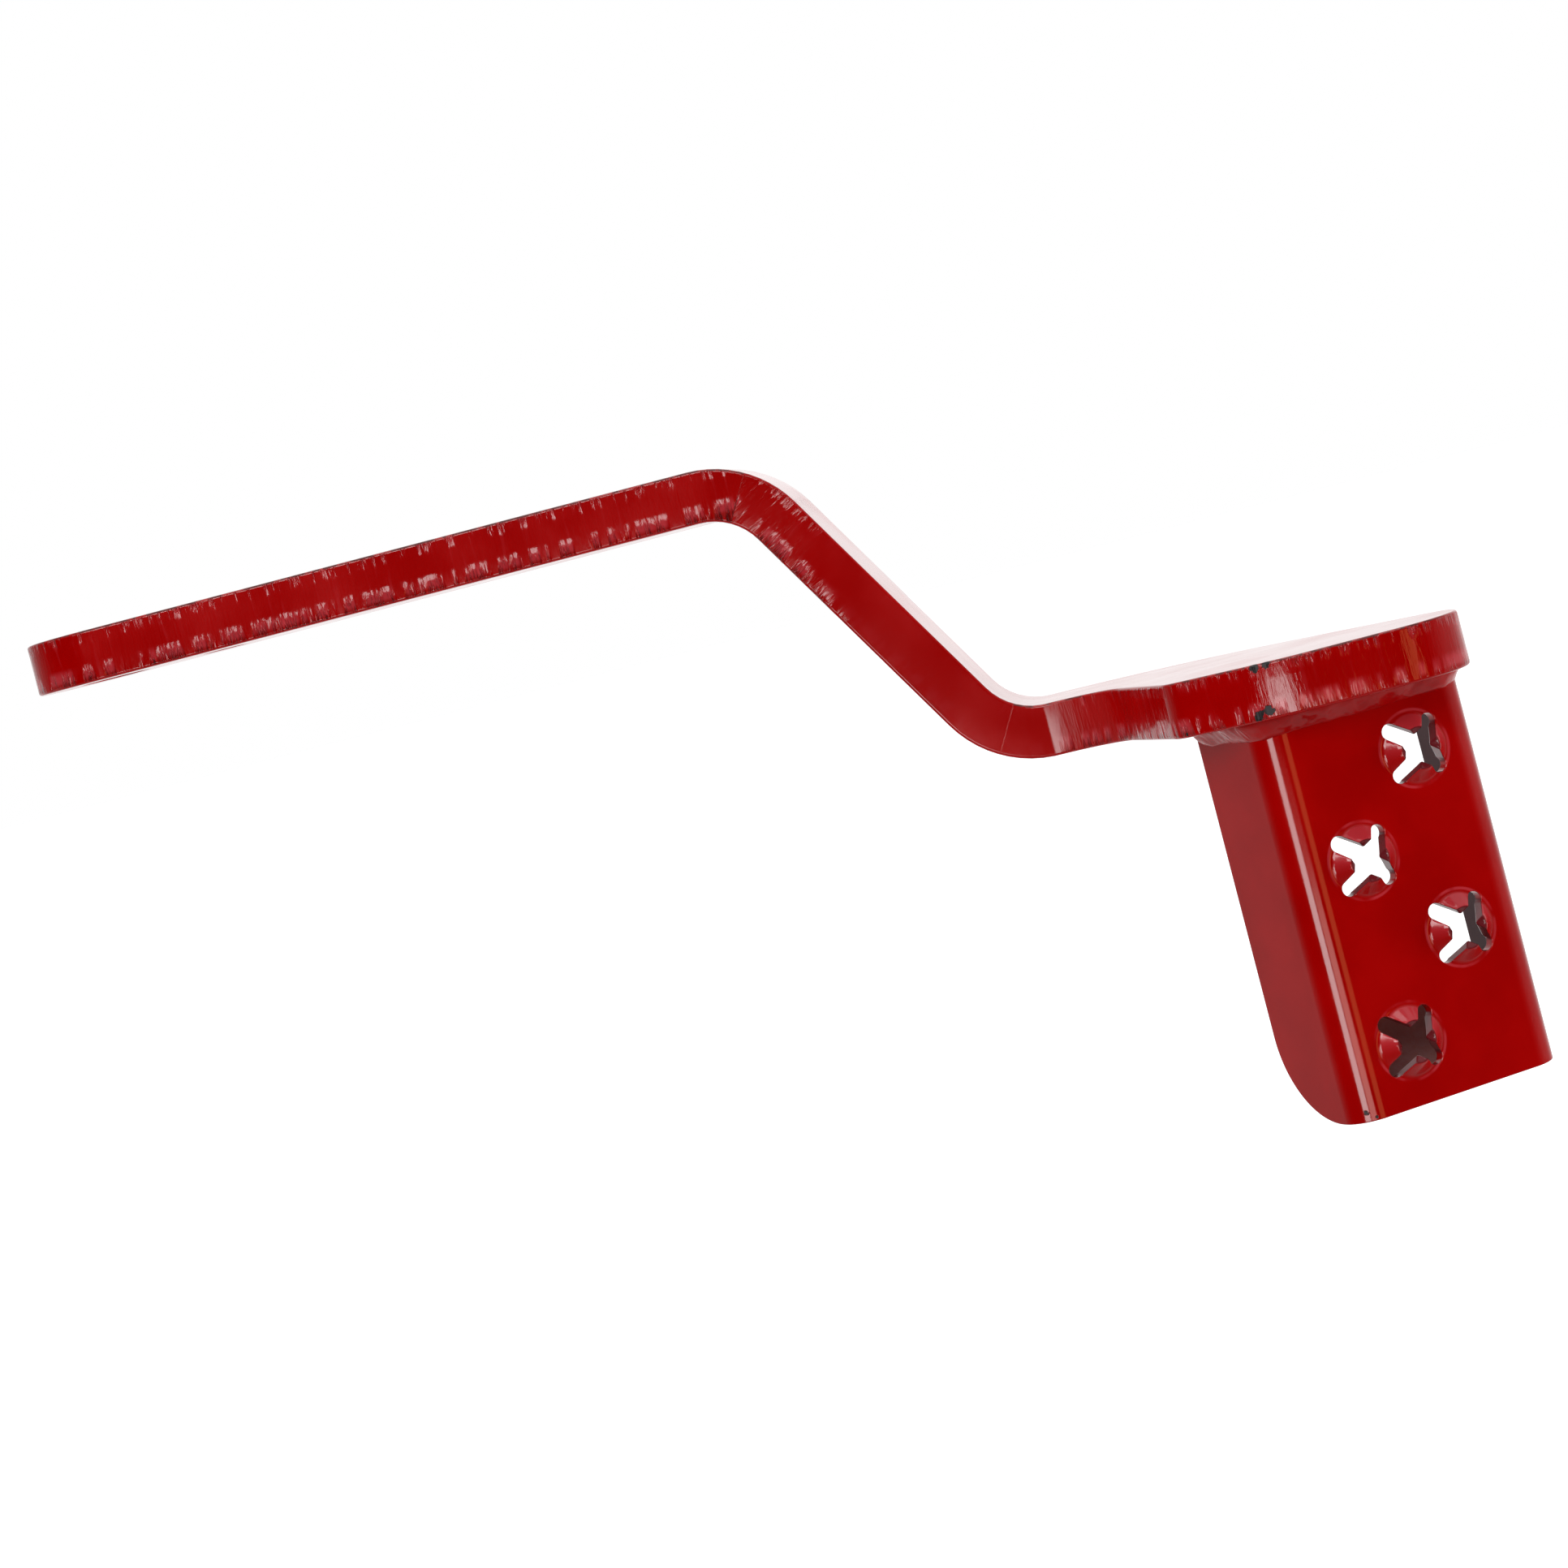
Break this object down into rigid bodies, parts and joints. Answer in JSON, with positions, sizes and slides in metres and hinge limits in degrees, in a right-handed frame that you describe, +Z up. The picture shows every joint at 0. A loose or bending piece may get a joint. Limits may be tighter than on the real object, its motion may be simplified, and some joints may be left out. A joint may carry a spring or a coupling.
{
  "type": "foot pedal lever",
  "caption": "Cranked flat-bar foot lever with a pivot hole and link hole at one end and a punched, open-backed tread hood welded under its wide pad.",
  "frame": {"origin": "centre of the pivot hole, half way through the bar", "axes": "+X from the pivot hole along the bar to the pad, +Z up along the pivot, the tread hangs down -Z and faces -Y"},
  "size_m": [0.3386, 0.096, 0.1806],
  "materials": {
    "red_powder_coat": "gloss"
  },
  "bodies": {
    "root": {"arm_plate": "red_powder_coat", "tread_channel": "red_powder_coat", "tread_end_cap": "red_powder_coat", "root_weld_front": "red_powder_coat", "root_weld_inner_side": "red_powder_coat"}
  },
  "joints": []
}
